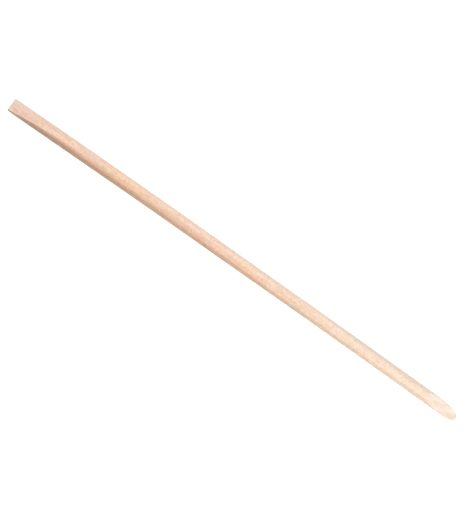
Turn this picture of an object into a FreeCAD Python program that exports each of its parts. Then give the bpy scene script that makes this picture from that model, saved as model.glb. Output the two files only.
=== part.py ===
import FreeCAD, Part
import math
import os

import Sketcher
from FreeCAD import Vector

# Manicure stick: one round wooden dowel, cut at both ends.
# The left end (-X) is a chisel, with a bevel on each of two opposite sides and a square tip.
# The right end (+X) is one long slanting cut, the slash, that leaves a blunt rounded nose.
# The dowel is bowed a little: a straight grip, a slight bend to each side, and straight ends.
# It lies on the table with the bow flat and the slash up.
# Frame: +X runs from the chisel to the slash, and +Z is up.
# The origin is on the table, under the middle of the stick's length and width.

# Driving dimensions, in millimetres and degrees

DRIVING_DIMENSIONS = [
    ("stick_length", 115.0, "straight distance between the two ends"),
    ("stick_diameter", 3.0, "thickness of the round shank"),
    ("bow_height", 0.27, "how far the middle stands off the line between the ends"),
    ("grip_length", 30.0, "straight stretch in the middle"),
    ("straight_end_length", 22.0, "straight stretch at each end, which carries the cuts"),
    ("chisel_tip_thickness", 0.5, "thickness left at the chisel's square tip"),
    ("chisel_bevel_angle", 7.6, "slope of each bevel at the tip, from the axis"),
    ("chisel_bevel_length", 3.7, "length of each bevel's steep flat part"),
    ("chisel_blend_radius", 40.0, "radius that rolls the steep part over into the run-out"),
    ("chisel_runout_angle", 2.0, "slope of the shallow part that runs out on the shank"),
    ("chisel_turn", 19.0, "turn of the bevels about the axis, away from facing straight up"),
    ("slash_angle", 16.7, "slope of the slash, from the axis"),
    ("slash_tip_thickness", 0.12, "thickness that the slash leaves at the end"),
    ("nose_radius", 1.3, "rounding of the slash's tip, seen from above"),
    ("cutter_margin", 1.0, "how far each waste outline reaches past the wood"),
]

# Lengths and angles that several features share, worked out from the driving dimensions

STICK_END = "sizes.stick_length / 2"
BOW_MIDDLE = "sizes.bow_height / 2"
GRIP_END = "sizes.grip_length / 2"
HALF_LESS_GRIP = "(sizes.stick_length / 2 - sizes.grip_length / 2)"
BEND_ANGLE = "(2 * atan(sizes.bow_height / (" + HALF_LESS_GRIP + " + sizes.straight_end_length)))"
BEND_REACH = "(" + HALF_LESS_GRIP + " - sizes.straight_end_length * cos" + BEND_ANGLE + ")"
BEND_RADIUS = "(" + BEND_REACH + " / sin" + BEND_ANGLE + ")"
WASTE_TOP = "sizes.stick_diameter / 2 + sizes.cutter_margin"
WASTE_END = "sizes.stick_length / 2 + sizes.cutter_margin"
WASTE_SIDE = "sizes.stick_diameter + sizes.bow_height"

# How the sketcher numbers a line's ends, an arc's middle and the sketch's own origin

START = 1
END = 2
CENTRE = 3
ORIGIN = -1

UP = Vector(0, 0, 1)


# The document and its sheet

doc = FreeCAD.newDocument("manicure_stick")
sheet = doc.addObject("Spreadsheet::Sheet", "sizes")
for row, (name, value, meaning) in enumerate(DRIVING_DIMENSIONS, start=1):
    sheet.set("A%d" % row, name)
    sheet.set("B%d" % row, str(value))
    sheet.set("C%d" % row, meaning)
    sheet.setAlias("B%d" % row, name)
doc.recompute()
body = doc.addObject("PartDesign::Body", "stick")
body.Label = "stick"


def size(name):
    """Read one driving dimension, to draw a sketch near its final shape."""
    return float(sheet.get(name))


def origin_plane(role):
    """Find one of the body's own origin planes."""
    return next(plane for plane in body.Origin.OriginFeatures if plane.Role == role)


def sketch_on(role, name):
    """Start a sketch on one of the body's own origin planes."""
    sketch = body.newObject("Sketcher::SketchObject", name)
    sketch.AttachmentSupport = [(origin_plane(role), "")]
    sketch.MapMode = "FlatFace"
    return sketch


def bind(sketch, label, expression, *constraint):
    """Add a constraint and tie its value to the sheet."""
    index = sketch.addConstraint(Sketcher.Constraint(*constraint))
    sketch.renameConstraint(index, label)
    sketch.setExpression("Constraints." + label, expression)


def place_across(sketch, label, geometry, point, expression):
    """Tie a point's distance across, from the sketch's origin, to the sheet."""
    drawn = sketch.getPoint(geometry, point).x
    bind(sketch, label + "_across", expression, "DistanceX", ORIGIN, START, geometry, point, drawn)


def place_up(sketch, label, geometry, point, expression):
    """Tie a point's distance up, from the sketch's origin, to the sheet."""
    drawn = sketch.getPoint(geometry, point).y
    bind(sketch, label + "_up", expression, "DistanceY", ORIGIN, START, geometry, point, drawn)


def join(sketch, first, first_end, second, second_end):
    """Make two ends meet."""
    sketch.addConstraint(Sketcher.Constraint("Coincident", first, first_end, second, second_end))


def draw_chain(sketch, points):
    """Draw straight lines from point to point, joined end to end."""
    lines = []
    for start, end in zip(points, points[1:]):
        lines.append(sketch.addGeometry(Part.LineSegment(start, end), False))
    for line, following in zip(lines, lines[1:]):
        join(sketch, line, END, following, START)
    return lines


def cut_away(waste, label):
    """Cut a waste outline through the whole stick, to both sides of its sketch."""
    doc.recompute()
    wood_before = body.Shape.Volume
    cut = body.newObject("PartDesign::Pocket", label)
    cut.Profile = waste
    cut.Midplane = True
    cut.setExpression("Length", "2 * (" + WASTE_SIDE + ")")
    doc.recompute()
    if body.Shape.Volume >= wood_before:
        raise RuntimeError(label + " removes no wood")
    return cut


# The bowed dowel


def bend_radius():
    """Work out the radius of the bends between the straight stretches."""
    half_less_grip = (size("stick_length") - size("grip_length")) / 2
    straight = size("straight_end_length")
    angle = 2 * math.atan(size("bow_height") / (half_less_grip + straight))
    return (half_less_grip - straight * math.cos(angle)) / math.sin(angle)


def draw_section(sketch):
    """Draw the dowel's round section, set off to the side as the middle of the bow is."""
    diameter = size("stick_diameter")
    round_section = Part.Circle(Vector(size("bow_height") / 2, 0, 0), UP, diameter / 2)
    circle = sketch.addGeometry(round_section, False)
    place_across(sketch, "middle", circle, CENTRE, BOW_MIDDLE)
    place_up(sketch, "middle", circle, CENTRE, "0")
    bind(sketch, "thickness", "sizes.stick_diameter", "Diameter", circle, diameter)


def add_dowel():
    """Join a straight grip, a slight bend and a straight end, and mirror them to the left."""
    section = sketch_on("YZ_Plane", "section")
    draw_section(section)
    doc.recompute()
    grip = body.newObject("PartDesign::Pad", "grip")
    grip.Profile = section
    grip.Midplane = True
    grip.setExpression("Length", "sizes.grip_length")
    doc.recompute()

    bend_section = sketch_on("YZ_Plane", "bend_section")
    grip_end = Vector(0, 0, size("grip_length") / 2)
    bend_section.AttachmentOffset = FreeCAD.Placement(grip_end, FreeCAD.Rotation())
    bend_section.setExpression(".AttachmentOffset.Base.z", GRIP_END)
    draw_section(bend_section)
    foot = Vector(size("bow_height") / 2 - bend_radius(), 0, 0)
    head = foot + Vector(0, size("stick_diameter"), 0)
    axis = bend_section.addGeometry(Part.LineSegment(foot, head), True)
    bend_section.addConstraint(Sketcher.Constraint("Vertical", axis))
    place_across(bend_section, "axis_foot", axis, START, BOW_MIDDLE + " - " + BEND_RADIUS)
    place_up(bend_section, "axis_foot", axis, START, "0")
    place_up(bend_section, "axis_head", axis, END, "sizes.stick_diameter")
    doc.recompute()
    right_bend = body.newObject("PartDesign::Revolution", "right_bend")
    right_bend.Profile = bend_section
    right_bend.ReferenceAxis = (bend_section, ["Axis0"])
    right_bend.Reversed = True
    right_bend.setExpression("Angle", BEND_ANGLE)
    doc.recompute()

    right_end = body.newObject("PartDesign::Pad", "right_end")
    faces = right_bend.Shape.Faces
    end_face = max(faces, key=lambda face: face.CenterOfMass.x)
    end_number = next(number for number, face in enumerate(faces, start=1) if face.isSame(end_face))
    right_end.Profile = (right_bend, ["Face%d" % end_number])
    right_end.setExpression("Length", "sizes.straight_end_length")
    doc.recompute()

    left_half = body.newObject("PartDesign::Mirrored", "left_half")
    left_half.Originals = [right_bend, right_end]
    left_half.MirrorPlane = (origin_plane("YZ_Plane"), [""])
    body.Tip = left_half
    doc.recompute()


# The slash


def add_slash():
    """Cut the long slope that faces up. From the side, its waste is a triangle."""
    margin = size("cutter_margin")
    top = size("stick_diameter") / 2 + margin
    slope = math.tan(math.radians(size("slash_angle")))
    floor_at_end = size("slash_tip_thickness") - size("stick_diameter") / 2
    low = Vector(size("stick_length") / 2 + margin, floor_at_end - margin * slope, 0)
    high = Vector(low.x - (top - low.y) / slope, top, 0)
    corner = Vector(low.x, top, 0)

    waste = sketch_on("XZ_Plane", "slash_waste")
    slant, ceiling, upright = draw_chain(waste, [low, high, corner, low])
    join(waste, upright, END, slant, START)
    waste.addConstraint(Sketcher.Constraint("Horizontal", ceiling))
    waste.addConstraint(Sketcher.Constraint("Vertical", upright))
    place_across(waste, "low", slant, START, WASTE_END)
    below_end = "sizes.cutter_margin * tan(sizes.slash_angle * 1 deg)"
    floor_words = "sizes.slash_tip_thickness - sizes.stick_diameter / 2 - "
    place_up(waste, "low", slant, START, floor_words + below_end)
    place_up(waste, "top", upright, START, WASTE_TOP)
    bind(waste, "slope", "180 deg - sizes.slash_angle * 1 deg", "Angle", slant, math.pi - math.atan(slope))
    cut_away(waste, "slash")


def add_nose():
    """Round the slash's tip as seen from above: the waste lies outside an arc."""
    radius = size("nose_radius")
    side = size("stick_diameter") + size("bow_height")
    middle = Vector(size("stick_length") / 2 - radius, -size("bow_height") / 2, 0)
    outer = size("stick_length") / 2 + size("cutter_margin")

    waste = sketch_on("XY_Plane", "nose_waste")
    half_circle = Part.ArcOfCircle(Part.Circle(middle, UP, radius), -math.pi / 2, math.pi / 2)
    nose = waste.addGeometry(half_circle, False)
    back_step, back, outside, front, front_step = draw_chain(
        waste,
        [
            Vector(middle.x, middle.y + radius, 0),
            Vector(middle.x, side, 0),
            Vector(outer, side, 0),
            Vector(outer, -side, 0),
            Vector(middle.x, -side, 0),
            Vector(middle.x, middle.y - radius, 0),
        ],
    )
    join(waste, nose, END, back_step, START)
    join(waste, front_step, END, nose, START)
    for upright in (back_step, outside, front_step):
        waste.addConstraint(Sketcher.Constraint("Vertical", upright))
    for level in (back, front):
        waste.addConstraint(Sketcher.Constraint("Horizontal", level))
    place_across(waste, "nose_middle", nose, CENTRE, STICK_END + " - sizes.nose_radius")
    place_up(waste, "nose_middle", nose, CENTRE, "-" + BOW_MIDDLE)
    place_across(waste, "nose_back", nose, END, STICK_END + " - sizes.nose_radius")
    place_across(waste, "nose_front", nose, START, STICK_END + " - sizes.nose_radius")
    bind(waste, "rounding", "sizes.nose_radius", "Radius", nose, radius)
    place_across(waste, "outside", outside, START, WASTE_END)
    place_up(waste, "back", outside, START, WASTE_SIDE)
    place_up(waste, "front", outside, END, "-(" + WASTE_SIDE + ")")
    cut_away(waste, "nose")


# The chisel


def add_chisel():
    """Cut one bevel, and mirror it to the other side of the chisel."""
    margin = size("cutter_margin")
    end = -size("stick_length") / 2
    top = size("stick_diameter") / 2 + margin
    steep = math.radians(size("chisel_bevel_angle"))
    shallow = math.radians(size("chisel_runout_angle"))
    blend = size("chisel_blend_radius")
    half_tip = size("chisel_tip_thickness") / 2
    flat_length = size("chisel_bevel_length")

    outside = Vector(end - margin, half_tip - margin * math.tan(steep), 0)
    roll_start = Vector(end + flat_length, half_tip + flat_length * math.tan(steep), 0)
    roll_middle = roll_start + Vector(blend * math.sin(steep), -blend * math.cos(steep), 0)
    roll_end = roll_middle + Vector(-blend * math.sin(shallow), blend * math.cos(shallow), 0)
    far = Vector(roll_end.x + (top - roll_end.y) / math.tan(shallow), top, 0)
    corner = Vector(outside.x, top, 0)

    waste = sketch_on("XZ_Plane", "bevel_waste")
    turn = FreeCAD.Rotation(Vector(1, 0, 0), -size("chisel_turn"))
    waste.AttachmentOffset = FreeCAD.Placement(Vector(0, 0, size("bow_height") / 2), turn)
    waste.setExpression(".AttachmentOffset.Base.z", BOW_MIDDLE)
    waste.setExpression(".AttachmentOffset.Rotation.Angle", "-sizes.chisel_turn * 1 deg")

    flat = waste.addGeometry(Part.LineSegment(outside, roll_start), False)
    rolling = Part.Circle(roll_middle, UP, blend)
    quarter_turn = math.pi / 2
    roll = waste.addGeometry(Part.ArcOfCircle(rolling, quarter_turn + shallow, quarter_turn + steep), False)
    run_out, ceiling, upright = draw_chain(waste, [roll_end, far, corner, outside])
    join(waste, upright, END, flat, START)
    waste.addConstraint(Sketcher.Constraint("Tangent", flat, END, roll, END))
    waste.addConstraint(Sketcher.Constraint("Tangent", roll, START, run_out, START))
    waste.addConstraint(Sketcher.Constraint("Horizontal", ceiling))
    waste.addConstraint(Sketcher.Constraint("Vertical", upright))
    place_across(waste, "outside", flat, START, "-(" + WASTE_END + ")")
    below_tip = "sizes.cutter_margin * tan(sizes.chisel_bevel_angle * 1 deg)"
    place_up(waste, "outside", flat, START, "sizes.chisel_tip_thickness / 2 - " + below_tip)
    place_across(waste, "flat_end", flat, END, "sizes.chisel_bevel_length - " + STICK_END)
    place_up(waste, "top", ceiling, START, WASTE_TOP)
    bind(waste, "steep", "sizes.chisel_bevel_angle * 1 deg", "Angle", flat, steep)
    bind(waste, "shallow", "sizes.chisel_runout_angle * 1 deg", "Angle", run_out, shallow)
    bind(waste, "blend", "sizes.chisel_blend_radius", "Radius", roll, blend)
    bevel = cut_away(waste, "bevel")

    opposite = body.newObject("PartDesign::Mirrored", "opposite_bevel")
    opposite.Originals = [bevel]
    opposite.MirrorPlane = (waste, ["H_Axis"])
    wood_before = body.Shape.Volume
    body.Tip = opposite
    doc.recompute()
    if body.Shape.Volume >= wood_before:
        raise RuntimeError("the opposite bevel removes no wood")


# The whole stick, laid on the table

add_dowel()
add_slash()
add_nose()
add_chisel()
body.setExpression(".Placement.Base.z", "sizes.stick_diameter / 2")
doc.recompute()

# Checks, then the file

for item in doc.Objects:
    if "Invalid" in item.State or "Error" in item.State:
        raise RuntimeError(item.Label + " did not build")
if body.Shape.isNull() or not body.Shape.isValid():
    raise RuntimeError(body.Label + " has no valid shape")
os.makedirs("parts", exist_ok=True)
body.Shape.exportStep("parts/" + body.Label + ".step")
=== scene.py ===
import math

import bpy
import numpy as np
from mathutils import Matrix, Vector


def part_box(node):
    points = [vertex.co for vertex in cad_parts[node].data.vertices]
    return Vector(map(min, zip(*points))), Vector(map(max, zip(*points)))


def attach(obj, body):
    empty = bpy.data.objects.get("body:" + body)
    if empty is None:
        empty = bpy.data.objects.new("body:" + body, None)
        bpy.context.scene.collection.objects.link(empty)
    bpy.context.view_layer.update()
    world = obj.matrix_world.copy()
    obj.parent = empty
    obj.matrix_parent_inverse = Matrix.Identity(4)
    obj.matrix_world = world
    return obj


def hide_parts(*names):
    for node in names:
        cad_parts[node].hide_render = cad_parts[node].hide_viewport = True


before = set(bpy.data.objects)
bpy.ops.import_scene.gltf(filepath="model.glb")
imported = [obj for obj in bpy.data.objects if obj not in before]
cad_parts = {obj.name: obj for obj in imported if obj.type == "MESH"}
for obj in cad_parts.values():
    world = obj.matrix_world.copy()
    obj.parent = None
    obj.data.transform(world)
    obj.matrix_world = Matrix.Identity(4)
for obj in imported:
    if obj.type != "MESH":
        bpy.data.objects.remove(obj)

# Manicure stick: a slim dowel of bare pale wood, with a chisel at one end and a slanting cut at the other.
# Lengths are in millimetres and angles in degrees, unless a name says otherwise.
# Frame: +X runs from the chisel to the slash, +Z is up, and the table is at z = 0.

METRES_PER_MM = 0.001

# The dressed stick, worked out from the frame

CAD_LOW, CAD_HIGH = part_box("stick")
RADIUS = (CAD_HIGH.z - CAD_LOW.z) / 2 / METRES_PER_MM
RIGHT_END = CAD_HIGH.x / METRES_PER_MM
LEFT_END = -RIGHT_END

# The bow: a straight grip, a slight bend to each side, and straight ends

BOW_HEIGHT = 0.27
GRIP_END = 15.0
STRAIGHT_END = 22.0

# The chisel

CHISEL_TIP = 0.5
BEVEL_ANGLE = 7.6
BEVEL_LENGTH = 3.7
BLEND_RADIUS = 40.0
RUNOUT_ANGLE = 2.0
CHISEL_TURN = 19.0
TIP_CHAMFER = 0.035

# The slash

SLASH_ANGLE = 16.7
SLASH_TIP = 0.12
NOSE_RADIUS = 1.3
NOSE_FLAT = 0.06

# The mesh: columns run along the stick, and stations cut across it

COLUMNS = 96
STATION_STEP = 0.15
NOSE_STATIONS = 14
CORNER_COLUMNS = (COLUMNS // 8, 3 * COLUMNS // 8, 5 * COLUMNS // 8, 7 * COLUMNS // 8)
GATHER_LENGTH = 5.0
SHARP_ANGLE = 38.0

# The relief that milling, sanding, cutting and wear leave, all of it inward

DOWEL_WAVES = 0.012
FIBRE_RELIEF = 0.006
CUT_RELIEF = 0.012
EDGE_WEAR = 0.16
FRESH_DEPTH = 0.45

# The wood's tone, at shares of the length from the chisel to the slash: real variation in the wood, with
# painted light that makes it paler and less saturated towards the slash, where the light is stronger

TONES_WITH_PAINTED_LIGHT = [
    (0.01, (0.93, 0.660, 0.525)),
    (0.05, (0.88, 0.597, 0.452)),
    (0.2, (0.935, 0.650, 0.480)),
    (0.28, (0.945, 0.670, 0.500)),
    (0.4, (0.905, 0.645, 0.485)),
    (0.57, (0.906, 0.675, 0.515)),
    (0.72, (0.890, 0.695, 0.545)),
    (0.93, (0.812, 0.640, 0.510)),
]
FRESH_TONE = (0.765, 0.655, 0.575, 1)
FLECK_TONE = (0.55, 0.36, 0.25, 1)
STREAK_TONE = (0.60, 0.40, 0.27, 1)
END_GRAIN_TONE = (0.74, 0.56, 0.42, 1)
# Painted shade: the tint for the half-shaded front.
PAINTED_SHADE_WARMTH = (1.03, 0.96, 0.905, 1)

# How each pattern tints the wood, at its low places and at its high ones

TINTS = {
    "grains": ((0.885, 0.875, 0.865), (1.115, 1.125, 1.135)),
    "rosy": ((1.03, 0.935, 0.945), (0.97, 1.065, 1.055)),
    "rings": ((0.96, 0.94, 0.92), (1.01, 1.02, 1.02)),
    "bands": ((0.95, 0.92, 0.90), (1.03, 1.05, 1.06)),
    "fibres": ((0.93, 0.91, 0.89), (1.05, 1.06, 1.07)),
    "straw": ((1.0, 1.0, 0.89), (1.0, 1.0, 1.11)),
}
# Painted light and shade across the stick: the back, which faces the key light, a little cooler, and the
# shaded front a little warmer and darker
FRONT_SHADE_TINT = (1.0, 0.99, 0.97)
BACK_LIGHT_TINT = (0.98, 1.02, 1.06)
FLECK_STRENGTH = 0.4
WORN_STRENGTH = 0.25
FRESH_REACH = 10.0
BUMP_DEPTH = 0.03
BUMP_STRENGTH = 0.5

# Painted shade: a warmer, slightly darker band along the half-shaded front. Where it fades in and out,
# from the chisel's tip and across

WARM_START = (3.0, 8.0)
WARM_END = (57.5, 72.5)
WARM_FRONT = (-1.7, -1.0)
WARM_BACK = (-0.4, 0.1)

# A brown streak that runs along the front of the stick, next to the bevel

STREAK_START = 5.5
STREAK_LENGTH = 10.0
STREAK_FADE = 14.0
STREAK_SIDE = -0.85
STREAK_SLANT = 2.0
STREAK_HALF_WIDTH = 0.35
STREAK_RISE = 3.0
STREAK_STEP = 2.0
STREAK_EDGE = 0.3
STREAK_STRENGTH = 0.42

# The lights: a large soft one behind and above, and a small one beside the slash

KEY_PLACE = (0, 260, 360)
KEY_AIM = (0, 0, 0)
KEY_SIZE = 260
KEY_POWER = 1.74
FILL_PLACE = (100, -90, 60)
FILL_AIM = (30, 0, 1)
FILL_SIZE = 60
FILL_POWER = 0.13
SKY_STRENGTH = 0.225
FLOOR_REACH = 3000
FLOOR_GLOW = 0.74

# The camera, seen from the middle of the stick

CAMERA_LEAN_TO_CHISEL = 12.0
CAMERA_LEAN_TO_FRONT = 8.0
CAMERA_ROLL = 35.16
CAMERA_DISTANCE = 300.0
CAMERA_LENS = 100.48
CAMERA_AIM = (-2.26, -0.104, 1.5)

SEED = 7


# The shape of the stick


def bow_at(x):
    """How far the dowel's axis stands to the side, at distances x from the middle."""
    reach = RIGHT_END - GRIP_END
    angle = 2 * math.atan(BOW_HEIGHT / (reach + STRAIGHT_END))
    bend_reach = reach - STRAIGHT_END * math.cos(angle)
    radius = bend_reach / math.sin(angle)
    out = np.abs(x)
    along_bend = np.clip(out - GRIP_END, 0, bend_reach)
    along_end = np.clip(out - GRIP_END - bend_reach, 0, None)
    sag = radius - np.sqrt(radius**2 - along_bend**2) + along_end * math.tan(angle)
    return BOW_HEIGHT / 2 - sag


def bevel_at(x):
    """How far each bevel lies from the chisel's middle plane."""
    steep = math.radians(BEVEL_ANGLE)
    shallow = math.radians(RUNOUT_ANGLE)
    from_tip = x - LEFT_END
    blend_reach = BLEND_RADIUS * (math.sin(steep) - math.sin(shallow))
    on_flat = np.clip(from_tip, None, BEVEL_LENGTH)
    on_blend = np.clip(from_tip - BEVEL_LENGTH, 0, blend_reach)
    on_runout = np.clip(from_tip - BEVEL_LENGTH - blend_reach, 0, None)
    slope = np.arcsin(math.sin(steep) - on_blend / BLEND_RADIUS)
    rise = BLEND_RADIUS * (np.cos(slope) - math.cos(steep))
    return CHISEL_TIP / 2 + on_flat * math.tan(steep) + rise + on_runout * math.tan(shallow)


def slash_at(x):
    """How high the slash lies above the dowel's axis."""
    return SLASH_TIP - RADIUS + (RIGHT_END - x) * math.tan(math.radians(SLASH_ANGLE))


def cut_heights(x):
    """How far the cuts lie above and below the dowel's axis. Past the radius, there is no cut."""
    shift = (bow_at(x) + BOW_HEIGHT / 2) * math.sin(math.radians(CHISEL_TURN))
    above = np.where(x < 0, bevel_at(x) - shift, slash_at(x))
    below = bevel_at(x) + shift
    return above, below


def nose_at(x):
    """Half the width that the rounded nose leaves. It ends in a narrow flat."""
    past = np.clip(x - (RIGHT_END - NOSE_RADIUS), 0, NOSE_RADIUS)
    rounded = np.sqrt(NOSE_RADIUS**2 - past**2)
    return np.where(past > 0, np.maximum(rounded, NOSE_FLAT), 2 * RADIUS)


def stations():
    """Places along the stick where the mesh has a section."""
    nose_start = RIGHT_END - NOSE_RADIUS
    count = round((nose_start - LEFT_END - TIP_CHAMFER) / STATION_STEP)
    shank = np.linspace(LEFT_END + TIP_CHAMFER, nose_start, count, endpoint=False)
    sweep = np.linspace(0, math.pi / 2, NOSE_STATIONS)
    nose = nose_start + NOSE_RADIUS * np.sin(sweep)
    return np.concatenate([[LEFT_END], shank, nose])


def ease(share):
    """Go from 0 to 1 with a soft start and a soft end."""
    share = np.clip(share, 0, 1)
    return share * share * (3 - 2 * share)


def corner_angle(height, slope):
    """The angle of a corner where a cut meets the round. Past the cut, it spreads out again."""
    past_cut = (height - RADIUS) / slope
    spread = math.pi / 2 - ease(past_cut / GATHER_LENGTH) * math.pi / 4
    return np.where(height < RADIUS, np.arcsin(np.clip(height / RADIUS, -1, 1)), spread)


def section_corners(x, above, below):
    """Angles of the four corners of each section. Two are on the upper cut, and two lie under it."""
    runout_slope = math.tan(math.radians(RUNOUT_ANGLE))
    upper_slope = np.where(x < 0, runout_slope, math.tan(math.radians(SLASH_ANGLE)))
    upper = corner_angle(above, upper_slope)
    lower = corner_angle(below, runout_slope)
    under = (math.pi + 2 * upper) / 3
    third = np.where(x < 0, math.pi + lower, math.pi - upper + under)
    fourth = np.where(x < 0, 2 * math.pi - lower, math.pi - upper + 2 * under)
    return np.stack([upper, math.pi - upper, third, fourth], 1)


def column_angles(corners):
    """Spread the columns evenly between the corners, station by station."""
    first, second, third, fourth = CORNER_COLUMNS
    marks = np.array([first, second, third, fourth, first + COLUMNS])
    angles = np.concatenate([corners, corners[:, :1] + 2 * math.pi], 1)
    columns = np.arange(first, first + COLUMNS)
    spread = np.stack([np.interp(columns, marks, row) for row in angles])
    return np.roll(spread, first, axis=1)


def flatten(across, up, start, end, where):
    """Put the columns from start to end on a straight line, at the stations where a cut is."""
    share = np.linspace(0, 1, end - start + 1)
    for values in (across, up):
        line = values[:, start, None] * (1 - share) + values[:, end, None] * share
        values[:, start : end + 1] = np.where(where[:, None], line, values[:, start : end + 1])


def depth_below_round(across, cut_height):
    """How deep a cut lies below the round surface that it took away."""
    return np.sqrt(np.clip(RADIUS**2 - across**2, 0, None)) - cut_height[:, None]


def wear_edges(across, up, cut_height, side):
    """Round off the edges between a cut and the round. The side is 1 above the axis, and -1 below it."""
    wear = EDGE_WEAR * np.clip(cut_height / RADIUS, 0.01, 1)[:, None]
    overlap = np.clip(wear - np.abs(depth_below_round(across, cut_height)), 0, None)
    return up - np.where(side * up > 0, side * overlap**2 / (4 * wear), 0)


def soften_corners(across, up, upper_cut, lower_cut):
    """Break the sharp corners, as sanding does."""
    for number, corner in enumerate(CORNER_COLUMNS):
        cut = upper_cut if number < 2 else lower_cut
        for values in (across, up):
            neighbours = (values[:, corner - 1] + values[:, corner + 1]) / 2
            values[:, corner] = np.where(cut, (values[:, corner] + neighbours) / 2, values[:, corner])


def smooth_noise(rows, columns, rows_per_knot, columns_per_knot, draw):
    """Noise from 0 to 1 over stations and columns, with soft knots, that closes round the stick."""
    knot_rows = max(4, round(rows / rows_per_knot))
    knot_columns = max(4, round(columns / columns_per_knot))
    knots = draw.random((knot_rows + 2, knot_columns))
    knots = np.concatenate([knots, knots[:, :1]], 1)
    row = np.linspace(0, knot_rows, rows)
    column = np.arange(columns) * knot_columns / columns
    low_row, low_column = row.astype(int), column.astype(int)
    row_share, column_share = ease(row - low_row)[:, None], ease(column - low_column)
    low, high = [
        knots[low_row + step][:, low_column] * (1 - column_share)
        + knots[low_row + step][:, low_column + 1] * column_share
        for step in (0, 1)
    ]
    return low * (1 - row_share) + high * row_share


def stick_points():
    """Every vertex of the stick, station by station, and what the wood is like there."""
    x = stations()
    rows = len(x)
    above, below = cut_heights(x)
    upper_cut, lower_cut = above < RADIUS, below < RADIUS
    angles = column_angles(section_corners(x, above, below))
    first, second, third, fourth = CORNER_COLUMNS
    upper_face, lower_face = slice(first, second + 1), slice(third, fourth + 1)

    draw = np.random.default_rng(SEED)
    waves = DOWEL_WAVES * smooth_noise(rows, COLUMNS, 60, 16, draw)
    fibres = FIBRE_RELIEF * smooth_noise(rows, COLUMNS, 22, 1.5, draw)
    radius = RADIUS - waves - fibres
    across = radius * np.cos(angles)
    up = radius * np.sin(angles)
    half_width = nose_at(x)[:, None]
    on_nose = np.abs(across) > half_width
    across = np.clip(across, -half_width, half_width)
    flatten(across, up, first, second, upper_cut)
    flatten(across, up, third, fourth, lower_cut)

    tool_marks = CUT_RELIEF * smooth_noise(rows, COLUMNS, 9, 24, draw)
    fine_marks = CUT_RELIEF / 3 * smooth_noise(rows, COLUMNS, 2, 3, draw)
    thickness = np.where(x > 0, slash_at(x) + RADIUS, bevel_at(x))[:, None]
    relief = np.minimum(tool_marks + fine_marks, thickness / 6)
    inner = slice(first + 1, second)
    up[:, inner] -= relief[:, inner] * upper_cut[:, None]
    inner = slice(third + 1, fourth)
    up[:, inner] += relief[:, inner] * lower_cut[:, None]
    up = wear_edges(across, up, above, 1)
    up = wear_edges(across, up, below, -1)
    soften_corners(across, up, upper_cut, lower_cut)

    fresh = np.zeros((rows, COLUMNS))
    fresh[:, upper_face] = ease(depth_below_round(across, above) / FRESH_DEPTH)[:, upper_face]
    fresh[:, lower_face] = ease(depth_below_round(across, below) / FRESH_DEPTH)[:, lower_face]
    worn = np.zeros((rows, COLUMNS))
    for corner, cut in zip(CORNER_COLUMNS, (upper_cut, upper_cut, lower_cut, lower_cut)):
        worn[:, corner] = cut
        worn[:, [corner - 1, corner + 1]] = cut[:, None] / 2
    end_grain = on_nose * np.clip((x - RIGHT_END + NOSE_RADIUS) / NOSE_RADIUS, 0, 1)[:, None]
    end_grain[:, upper_face] = 0
    end_grain[0] = 1

    turn = np.radians(-CHISEL_TURN) * np.clip((GRIP_END - x) / (2 * GRIP_END), 0, 1)[:, None]
    tip = np.array([1 - TIP_CHAMFER / (CHISEL_TIP / 2)] + [1] * (rows - 1))[:, None]
    y = bow_at(x)[:, None] + across * np.cos(turn) - up * tip * np.sin(turn)
    z = RADIUS + across * np.sin(turn) + up * tip * np.cos(turn)
    points = np.stack([np.broadcast_to(x[:, None], y.shape), y, z], 2)
    return points * METRES_PER_MM, {"fresh_cut": fresh, "worn_edge": worn, "end_grain": end_grain}


def end_faces(start, turned):
    """Close an end with strips from side to side, and a triangle at each side."""
    half = COLUMNS // 2
    faces = [(0, 1, COLUMNS - 1), (half - 1, half, half + 1)]
    faces += [(near, near + 1, COLUMNS - near - 1, COLUMNS - near) for near in range(1, half - 1)]
    step = -1 if turned else 1
    return [[start + column for column in face[::step]] for face in faces]


def stick_faces(rows):
    """Quads between the stations, and the two closed ends."""
    row, column = np.meshgrid(np.arange(rows - 1), np.arange(COLUMNS), indexing="ij")
    following = (column + 1) % COLUMNS
    start = row * COLUMNS
    after = start + COLUMNS
    sides = np.stack([start + column, after + column, after + following, start + following], 2)
    return sides.reshape(-1, 4).tolist() + end_faces(0, False) + end_faces((rows - 1) * COLUMNS, True)


def make_stick():
    """Build the stick's mesh, with values at each vertex that say what the wood is like there."""
    points, values = stick_points()
    mesh = bpy.data.meshes.new("wooden_stick")
    mesh.from_pydata(points.reshape(-1, 3).tolist(), [], stick_faces(points.shape[0]))
    for name, value in values.items():
        mesh.attributes.new(name, "FLOAT", "POINT").data.foreach_set("value", value.ravel())
    mesh.validate()
    mesh.update()
    mesh.shade_smooth()
    mesh.set_sharp_from_angle(angle=math.radians(SHARP_ANGLE))
    stick = bpy.data.objects.new("wooden_stick", mesh)
    bpy.context.scene.collection.objects.link(stick)
    return stick


# The wood


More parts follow.
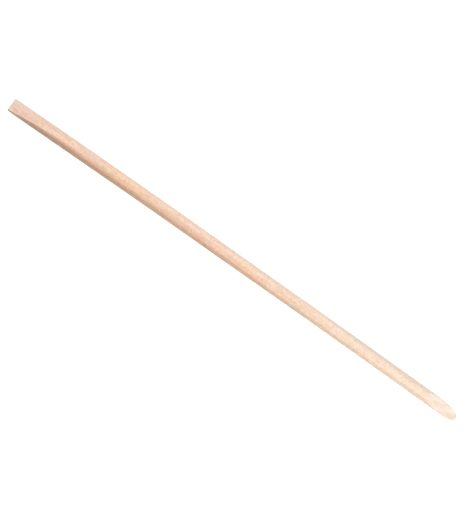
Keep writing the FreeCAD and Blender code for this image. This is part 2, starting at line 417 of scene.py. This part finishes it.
class Nodes:
    """A short way to add shader nodes to a material and wire them up."""

    def __init__(self, material):
        material.use_nodes = True
        self.tree = material.node_tree
        self.tree.nodes.clear()

    def add(self, kind, inputs=None, **settings):
        node = self.tree.nodes.new(kind)
        for name, value in settings.items():
            setattr(node, name, value)
        for name, value in (inputs or {}).items():
            self.feed(node.inputs[name], value)
        return node

    def feed(self, socket, value):
        if isinstance(value, bpy.types.NodeSocket):
            self.tree.links.new(value, socket)
        else:
            socket.default_value = value

    def attribute(self, name):
        return self.add("ShaderNodeAttribute", attribute_name=name).outputs["Fac"]

    def stretched(self, position, scale, offset=(0, 0, 0)):
        """Scale a position, to stretch a texture along the grain."""
        node = self.add("ShaderNodeMapping", {"Vector": position, "Scale": scale, "Location": offset})
        return node.outputs["Vector"]

    def noise(self, position, scale, detail, offset=(0, 0, 0)):
        """Noise around one half, with so many features to the millimetre along, across and up."""
        vector = self.stretched(position, scale, offset)
        inputs = {"Vector": vector, "Scale": 1.0, "Detail": detail, "Roughness": 0.55}
        return self.add("ShaderNodeTexNoise", inputs).outputs["Fac"]

    def ramp(self, factor, stops):
        """A colour for each of a few places between 0 and 1."""
        node = self.add("ShaderNodeValToRGB", {"Fac": factor})
        elements = node.color_ramp.elements
        while len(elements) < len(stops):
            elements.new(0.5)
        for element, (place, colour) in zip(elements, stops):
            element.position = place
            element.color = (*colour, 1)
        return node.outputs["Color"]

    def spread(self, value, low, high, to_low=0.0, to_high=1.0, kind="SMOOTHSTEP"):
        """Map a range of values to another range."""
        inputs = {"Value": value, "From Min": low, "From Max": high, "To Min": to_low, "To Max": to_high}
        return self.add("ShaderNodeMapRange", inputs, interpolation_type=kind).outputs["Result"]

    def multiply(self, *values):
        """Multiply a few values together."""
        product = values[0]
        for value in values[1:]:
            node = self.add("ShaderNodeMath", operation="MULTIPLY")
            self.feed(node.inputs[0], product)
            self.feed(node.inputs[1], value)
            product = node.outputs[0]
        return product

    def mix(self, factor, first, second, blend="MIX"):
        node = self.add("ShaderNodeMix", data_type="RGBA", blend_type=blend)
        self.feed(node.inputs[0], factor)
        self.feed(node.inputs[6], first)
        self.feed(node.inputs[7], second)
        return node.outputs[2]

    def tint(self, colour, pattern, low, high):
        """Multiply a colour by one that goes from low to high with a pattern."""
        return self.mix(1.0, colour, self.ramp(pattern, [(0.3, low), (0.7, high)]), "MULTIPLY")


def wood_patterns(nodes, position):
    """The patterns in the wood: long ones that run with the grain, and small mottling."""
    rings = nodes.add("ShaderNodeTexWave", {
        "Vector": nodes.stretched(position, (0.05, 1.0, 1.0), (0, 8, 11)),
        "Scale": 0.25,
        "Distortion": 2.5,
        "Detail": 2.0,
        "Detail Scale": 1.5,
    }, wave_type="RINGS", rings_direction="X")
    return {
        "rings": rings.outputs["Fac"],
        "bands": nodes.noise(position, (0.035, 0.9, 0.9), 2.0, (4, 9, 2)),
        "fibres": nodes.noise(position, (0.22, 4.0, 4.0), 5.0),
        "flecks": nodes.noise(position, (0.7, 9.0, 9.0), 4.0, (3, 5, 1)),
        "grains": nodes.noise(position, (2.4, 2.5, 2.5), 2.0, (5, 1, 8)),
        "rosy": nodes.noise(position, (0.95, 1.3, 1.3), 1.0, (11, 2, 7)),
        "straw": nodes.noise(position, (0.95, 1.2, 1.2), 1.0, (1, 13, 4)),
    }


def brown_streak(nodes, position, patterns):
    """Where the brown streak is: along the upper front, at a slight slant, with a ragged edge."""
    start = LEFT_END + STREAK_START
    end = start + STREAK_LENGTH
    slant = math.radians(STREAK_SLANT)
    own_place = nodes.add("ShaderNodeMapping", {
        "Vector": position,
        "Rotation": (0, 0, -slant),
        "Location": (0, start * math.sin(slant) - STREAK_SIDE, 0),
    })
    place = nodes.add("ShaderNodeSeparateXYZ", {"Vector": own_place.outputs["Vector"]}).outputs
    full = nodes.spread(place["X"], end - STREAK_STEP, end + STREAK_STEP, 1.0, 0.4)
    appears = nodes.spread(place["X"], start, start + STREAK_RISE)
    fades = nodes.spread(place["X"], end, end + STREAK_FADE, 1.0, 0.0)
    front = nodes.spread(place["Y"], -STREAK_HALF_WIDTH, 0)
    back = nodes.spread(place["Y"], 0, STREAK_HALF_WIDTH, 1.0, 0.0)
    above = nodes.spread(place["Z"], RADIUS, RADIUS + STREAK_EDGE)
    ragged = nodes.spread(patterns["fibres"], 0.35, 0.6, 0.4, 1.0)
    return nodes.multiply(full, appears, fades, front, back, above, ragged)


def painted_front_warmth(nodes, place):
    """Where painted shade makes the wood warmer and slightly darker: a band along the half-shaded front,
    from the chisel to past the middle.
    """
    start = nodes.spread(place["X"], LEFT_END + WARM_START[0], LEFT_END + WARM_START[1])
    end = nodes.spread(place["X"], LEFT_END + WARM_END[0], LEFT_END + WARM_END[1], 1.0, 0.0)
    front = nodes.spread(place["Y"], *WARM_FRONT)
    back = nodes.spread(place["Y"], *WARM_BACK, 1.0, 0.0)
    return nodes.multiply(start, end, front, back)


def wood_colour(nodes, position, patterns):
    """The wood's tone with painted light along it and painted light and shade across it, and its mottling,
    then the fresh cuts, grain, flecks, streak, edges and end grain.
    """
    place = nodes.add("ShaderNodeSeparateXYZ", {"Vector": position}).outputs
    along = nodes.spread(place["X"], LEFT_END, RIGHT_END, kind="LINEAR")
    across = nodes.spread(place["Y"], -RADIUS, RADIUS, kind="LINEAR")
    # The tone along the stick: real variation in the wood, with painted light that makes it paler towards
    # the slash.
    colour = nodes.ramp(along, TONES_WITH_PAINTED_LIGHT)
    # Painted light and shade: cooler on the lit back, warmer and darker on the shaded front.
    colour = nodes.tint(colour, across, FRONT_SHADE_TINT, BACK_LIGHT_TINT)
    # Painted shade: the half-shaded front is tinted warmer and slightly darker.
    colour = nodes.mix(painted_front_warmth(nodes, place), colour, PAINTED_SHADE_WARMTH, "MULTIPLY")
    for name in ("grains", "rosy"):
        colour = nodes.tint(colour, patterns[name], *TINTS[name])

    ragged = nodes.spread(patterns["grains"], 0.35, 0.6, 0.75, 0.95)
    toward_slash = nodes.spread(place["X"], 0.0, RIGHT_END - FRESH_REACH, 0.1, 0.85)
    fresh = nodes.multiply(nodes.attribute("fresh_cut"), toward_slash, ragged)
    colour = nodes.mix(fresh, colour, FRESH_TONE)

    for name in ("rings", "bands", "fibres", "straw"):
        colour = nodes.tint(colour, patterns[name], *TINTS[name])
    flecks = nodes.spread(patterns["flecks"], 0.57, 0.68, 0.0, FLECK_STRENGTH)
    colour = nodes.mix(flecks, colour, FLECK_TONE)
    streak = nodes.multiply(brown_streak(nodes, position, patterns), STREAK_STRENGTH)
    colour = nodes.mix(streak, colour, STREAK_TONE)

    worn = nodes.multiply(nodes.attribute("worn_edge"), WORN_STRENGTH)
    colour = nodes.mix(worn, colour, FRESH_TONE)
    dots = nodes.spread(patterns["flecks"], 0.4, 0.6, 0.8, 0.4)
    end_grain = nodes.multiply(nodes.attribute("end_grain"), dots)
    return nodes.mix(end_grain, colour, END_GRAIN_TONE)


def make_wood():
    """Bare sanded wood with a fine straight grain."""
    material = bpy.data.materials.new("pale_wood")
    nodes = Nodes(material)
    coordinates = nodes.add("ShaderNodeTexCoord").outputs["Object"]
    position = nodes.stretched(coordinates, (1 / METRES_PER_MM,) * 3)
    patterns = wood_patterns(nodes, position)
    relief = nodes.mix(0.35, patterns["fibres"], patterns["flecks"])
    bump = nodes.add("ShaderNodeBump", {
        "Height": relief,
        "Strength": BUMP_STRENGTH,
        "Distance": BUMP_DEPTH * METRES_PER_MM,
    })
    polish = nodes.multiply(nodes.attribute("worn_edge"), -0.08)
    roughness = nodes.add("ShaderNodeMath", operation="ADD")
    nodes.feed(roughness.inputs[0], nodes.spread(patterns["fibres"], 0.3, 0.7, 0.72, 0.58))
    nodes.feed(roughness.inputs[1], polish)
    surface = nodes.add("ShaderNodeBsdfPrincipled", {
        "Base Color": wood_colour(nodes, position, patterns),
        "Roughness": roughness.outputs[0],
        "Normal": bump.outputs["Normal"],
    })
    surface.inputs["Specular IOR Level"].default_value = 0.35
    output = nodes.add("ShaderNodeOutputMaterial")
    nodes.tree.links.new(surface.outputs[0], output.inputs["Surface"])
    return material


# The floor, the lights and the camera


def make_floor():
    """A plain, nearly white floor."""
    material = bpy.data.materials.new("pale_floor")
    nodes = Nodes(material)
    surface = nodes.add("ShaderNodeBsdfPrincipled", {
        "Base Color": (0.9, 0.9, 0.9, 1),
        "Roughness": 0.9,
        "Specular IOR Level": 0.1,
        "Emission Color": (1, 1, 1, 1),
        "Emission Strength": FLOOR_GLOW,
    })
    output = nodes.add("ShaderNodeOutputMaterial")
    nodes.tree.links.new(surface.outputs[0], output.inputs["Surface"])
    reach = FLOOR_REACH * METRES_PER_MM
    corners = [(-reach, -reach, 0), (reach, -reach, 0), (reach, reach, 0), (-reach, reach, 0)]
    mesh = bpy.data.meshes.new("floor")
    mesh.from_pydata(corners, [], [(0, 1, 2, 3)])
    mesh.materials.append(material)
    floor = bpy.data.objects.new("floor", mesh)
    bpy.context.scene.collection.objects.link(floor)
    floor.visible_diffuse = False


def make_light(name, place, aim, size, power):
    """A soft square light, placed and sized in millimetres, with its power in watts."""
    lamp = bpy.data.lights.new(name, "AREA")
    lamp.size = size * METRES_PER_MM
    lamp.energy = power
    light = bpy.data.objects.new(name, lamp)
    start = Vector(place) * METRES_PER_MM
    light.location = start
    light.rotation_mode = "QUATERNION"
    light.rotation_quaternion = (Vector(aim) * METRES_PER_MM - start).to_track_quat("-Z", "Y")
    light.visible_camera = False
    bpy.context.scene.collection.objects.link(light)


def make_sky():
    """Even, pale light from all round."""
    world = bpy.data.worlds.new("pale_sky")
    world.use_nodes = True
    background = world.node_tree.nodes["Background"]
    background.inputs["Color"].default_value = (1, 1, 1, 1)
    background.inputs["Strength"].default_value = SKY_STRENGTH
    bpy.context.scene.world = world


def make_camera():
    """Look down on the stick, leaning a little towards the chisel and the front."""
    lean = [math.tan(math.radians(angle)) for angle in (CAMERA_LEAN_TO_CHISEL, CAMERA_LEAN_TO_FRONT)]
    back = Vector((-lean[0], -lean[1], 1)).normalized()
    level_right = (Vector((1, 0, 0)) - back * back.x).normalized()
    level_up = back.cross(level_right)
    roll = math.radians(CAMERA_ROLL)
    right = math.cos(roll) * level_right + math.sin(roll) * level_up
    up = -math.sin(roll) * level_right + math.cos(roll) * level_up
    data = bpy.data.cameras.new("camera")
    data.lens = CAMERA_LENS
    data.clip_start = 0.01
    camera = bpy.data.objects.new("camera", data)
    camera.rotation_mode = "QUATERNION"
    camera.rotation_quaternion = Matrix((right, up, back)).transposed().to_quaternion()
    camera.location = (Vector(CAMERA_AIM) + back * CAMERA_DISTANCE) * METRES_PER_MM
    bpy.context.scene.collection.objects.link(camera)
    bpy.context.scene.camera = camera


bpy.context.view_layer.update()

make_floor()
make_light("key", KEY_PLACE, KEY_AIM, KEY_SIZE, KEY_POWER)
make_light("fill", FILL_PLACE, FILL_AIM, FILL_SIZE, FILL_POWER)
make_sky()
make_camera()
bpy.context.scene.view_settings.view_transform = "Standard"

stick = make_stick()
stick.data.materials.append(make_wood())
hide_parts("stick")
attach(stick, "root")
